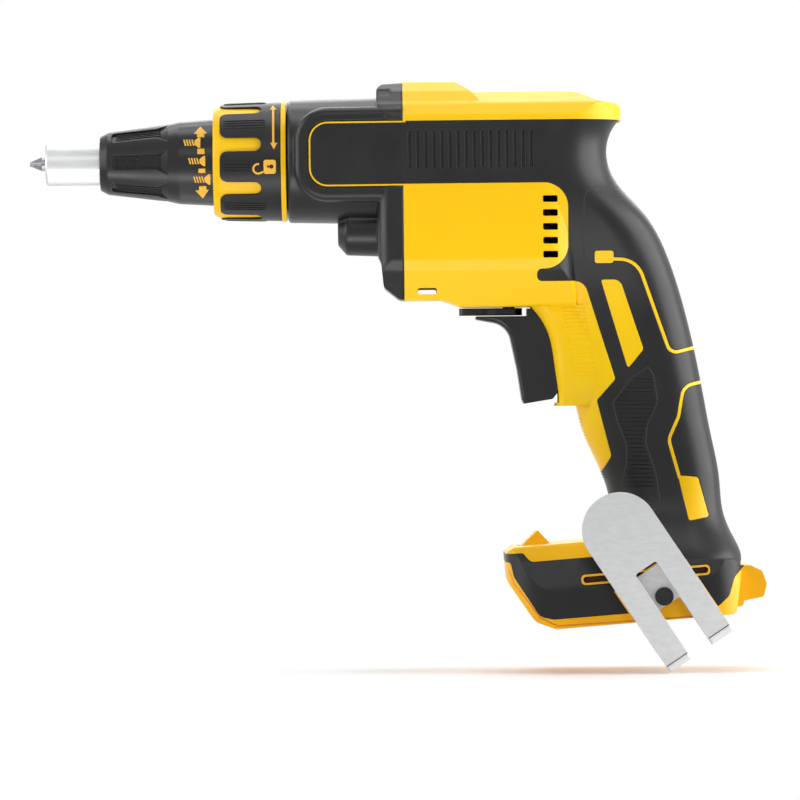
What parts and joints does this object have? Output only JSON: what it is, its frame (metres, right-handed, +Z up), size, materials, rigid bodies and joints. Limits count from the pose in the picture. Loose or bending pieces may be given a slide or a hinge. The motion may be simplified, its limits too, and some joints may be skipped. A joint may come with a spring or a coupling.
{
  "type": "drywall screwdriver",
  "caption": "Cordless pistol-grip drywall screwdriver with a depth-setting nose cone, lock collar, trigger, reversing lever and belt hook, without its battery.",
  "frame": {"origin": "tip of the screwdriver bit on the spindle axis", "axes": "-X along the spindle out of the nose, +Z up from the foot to the motor, -Y to the tool's left side with the belt hook"},
  "size_m": [0.2733, 0.0776, 0.2204],
  "materials": {
    "yellow_plastic": "moulded satin plastic",
    "black_rubber": "soft matt overmould",
    "black_plastic": "moulded satin plastic",
    "black_case": "satin black coating",
    "bright_steel": "bright plated steel",
    "tool_steel": "ground steel",
    "bronze": "plain bearing bronze",
    "copper": "enamelled copper wire",
    "laminated_iron": "stacked sheet",
    "circuit_board": "coated board",
    "clear_lens": "clear moulded lens"
  },
  "bodies": {
    "housing": {"left_housing": "yellow_plastic", "right_housing": "yellow_plastic", "left_overmould": "black_rubber", "right_overmould": "black_rubber", "gear_case": "black_case", "gear_case_screws": "tool_steel", "detent_spring": "tool_steel", "front_bush": "bronze", "rear_bush": "bronze", "pinion_bush": "bronze", "gear_plate": "black_case", "front_bearing_outer": "tool_steel", "rear_bearing_outer": "tool_steel", "motor_stator": "laminated_iron", "stator_windings": "copper", "sensor_board": "circuit_board", "switch_body": "black_plastic", "control_module": "circuit_board", "terminal_block": "black_plastic", "battery_contacts": "bronze", "lamp_lens": "clear_lens", "lamp_board": "circuit_board", "belt_hook": "bright_steel", "hook_screw": "tool_steel", "hook_inserts": "bronze", "housing_screws": "tool_steel"},
    "drive_gear": {"drive_gear": "tool_steel", "clutch_spring": "tool_steel"},
    "spindle": {"spindle": "tool_steel", "bit_holder": "bright_steel", "bit": "tool_steel", "bit_magnet": "bright_steel"},
    "rotor": {"motor_shaft": "tool_steel", "pinion": "tool_steel", "rotor_core": "laminated_iron", "fan": "black_plastic", "front_bearing_inner": "tool_steel", "rear_bearing_inner": "tool_steel"},
    "trigger": {"trigger": "black_plastic"},
    "reversing_lever": {"reversing_lever": "black_plastic"},
    "depth_cone": {"depth_cone": "black_plastic"},
    "nosepiece": {"nosepiece": "bright_steel"},
    "lock_collar": {"lock_collar": "yellow_plastic", "collar_grip": "black_rubber"}
  },
  "joints": [
    {"name": "trigger_pull", "type": "slide", "parent": "housing", "child": "trigger", "axis": [1, 0, 0], "range_m": [0, 0.0065], "stiffness_N_per_m": 500},
    {"name": "reverse_swing", "type": "hinge", "parent": "housing", "child": "reversing_lever", "pos_m": [0.1789, 0, -0.0572], "axis": [0, 0, 1], "range_deg": [-12, 12]},
    {"name": "depth_turn", "type": "hinge", "parent": "housing", "child": "depth_cone", "pos_m": [0.05, 0, 0], "axis": [1, 0, 0], "range_deg": [-180, 180]},
    {"name": "nose_feed", "type": "slide", "parent": "housing", "child": "nosepiece", "axis": [1, 0, 0], "range_m": [-0.0015, 0.0015]},
    {"name": "collar_unlock", "type": "hinge", "parent": "housing", "child": "lock_collar", "pos_m": [0.085, 0, 0], "axis": [1, 0, 0], "range_deg": [0, 28]},
    {"name": "gear_spin", "type": "hinge", "parent": "housing", "child": "drive_gear", "pos_m": [0.134, 0, 0], "axis": [1, 0, 0], "continuous": true},
    {"name": "rotor_spin", "type": "hinge", "parent": "housing", "child": "rotor", "pos_m": [0.16, 0, -0.026], "axis": [1, 0, 0], "continuous": true},
    {"name": "spindle_press", "type": "slide", "parent": "drive_gear", "child": "spindle", "axis": [1, 0, 0], "range_m": [0, 0.004], "stiffness_N_per_m": 1000, "deforming": ["clutch_spring"]}
  ],
  "couplings": [
    {"joint": "nose_feed", "follows": "depth_turn", "m_per_rad": 0.00047746},
    {"joint": "rotor_spin", "follows": "gear_spin", "ratio": -3.3333}
  ]
}
